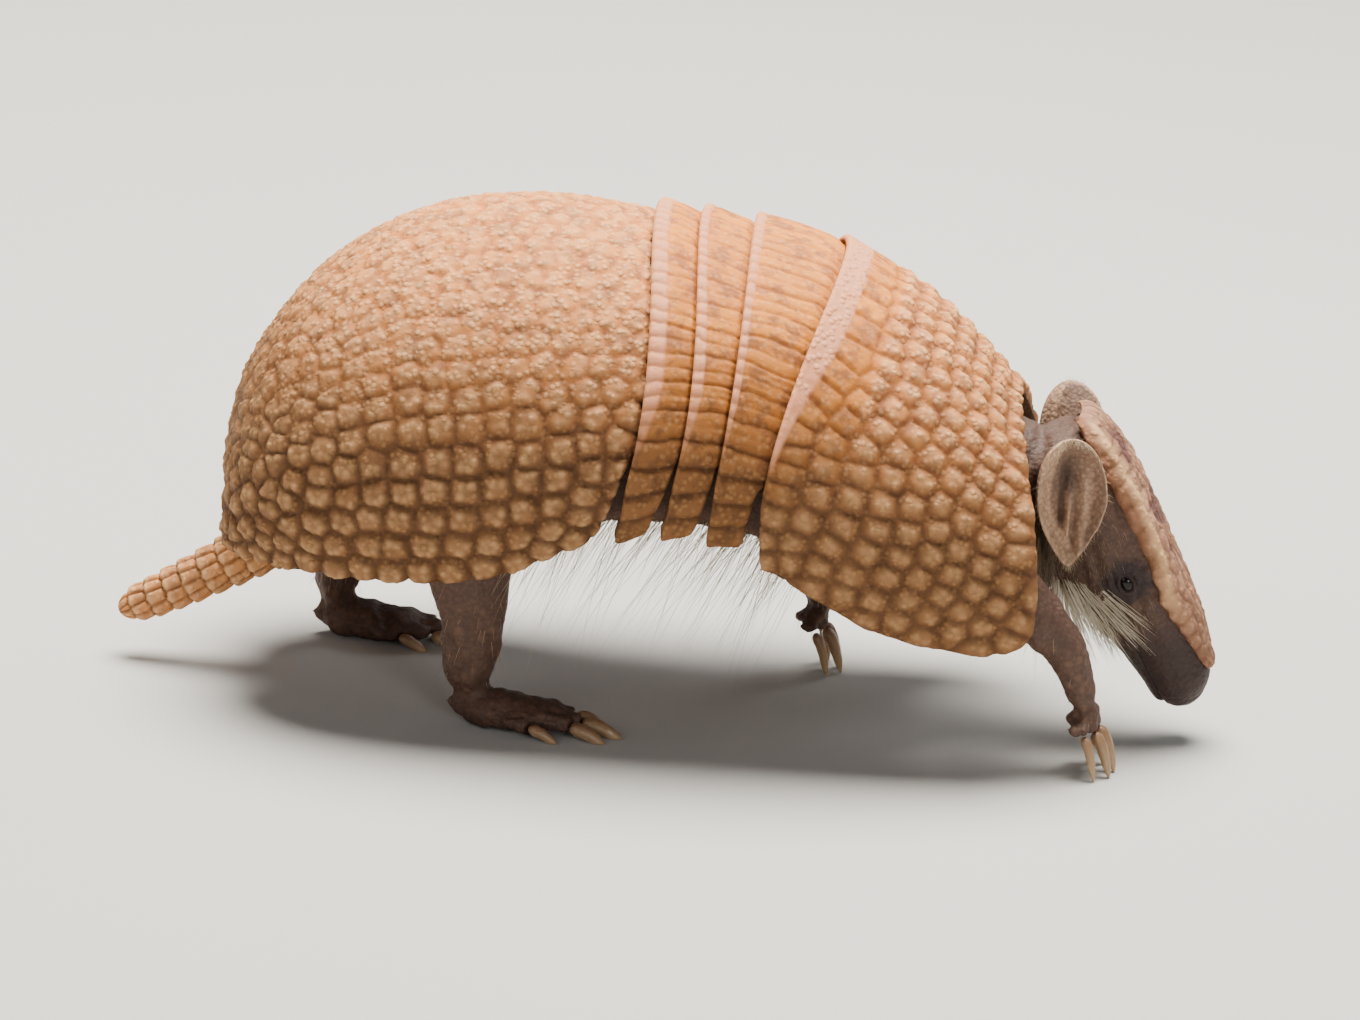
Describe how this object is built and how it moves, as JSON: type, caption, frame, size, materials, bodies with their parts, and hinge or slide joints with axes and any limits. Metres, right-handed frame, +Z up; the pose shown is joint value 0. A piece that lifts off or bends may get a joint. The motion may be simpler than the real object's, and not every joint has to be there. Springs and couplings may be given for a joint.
{
  "type": "southern three-banded armadillo, still model",
  "caption": "Life-size still model of a banded armadillo walking with its nose near the ground, with domed shoulder and hip shields, overlapping bands, a head shield and a scaly tail.",
  "frame": {"origin": "on the floor, under the middle of the model's box in plan", "axes": "+X towards the head, +Y towards the animal's left, +Z up"},
  "size_m": [0.2274, 0.0998, 0.1049],
  "materials": {
    "carapace": "dry horny scutes, tan to orange-brown, with dark grooves and pale edges",
    "brow_shield": "horny scutes, orange-brown, with a pale yellowish rim",
    "skin": "dark wrinkled skin with small scales and sparse pale bristles",
    "ear": "thin grey-brown leathery skin with a pale rim",
    "tail": "rings of rough horny scutes",
    "claw": "translucent pale horn, slightly glossy",
    "eye": "wet glossy black"
  },
  "bodies": {
    "root": {"band_front": "carapace", "band_middle": "carapace", "band_rear": "carapace", "claw_front_left_1": "claw", "claw_front_left_2": "claw", "claw_front_left_3": "claw", "claw_front_left_4": "claw", "claw_front_right_1": "claw", "claw_front_right_2": "claw", "claw_front_right_3": "claw", "claw_front_right_4": "claw", "claw_hind_left_1": "claw", "claw_hind_left_2": "claw", "claw_hind_left_3": "claw", "claw_hind_left_4": "claw", "claw_hind_left_5": "claw", "claw_hind_right_1": "claw", "claw_hind_right_2": "claw", "claw_hind_right_3": "claw", "claw_hind_right_4": "claw", "claw_hind_right_5": "claw", "ear_left": "ear", "ear_right": "ear", "eye_left": "eye", "eye_right": "eye", "head": "skin", "head_shield": "brow_shield", "leg_front_left": "skin", "leg_front_right": "skin", "leg_hind_left": "skin", "leg_hind_right": "skin", "neck": "skin", "pelvic_shield": "carapace", "scapular_shield": "carapace", "tail": "tail", "trunk": "skin"}
  },
  "joints": []
}
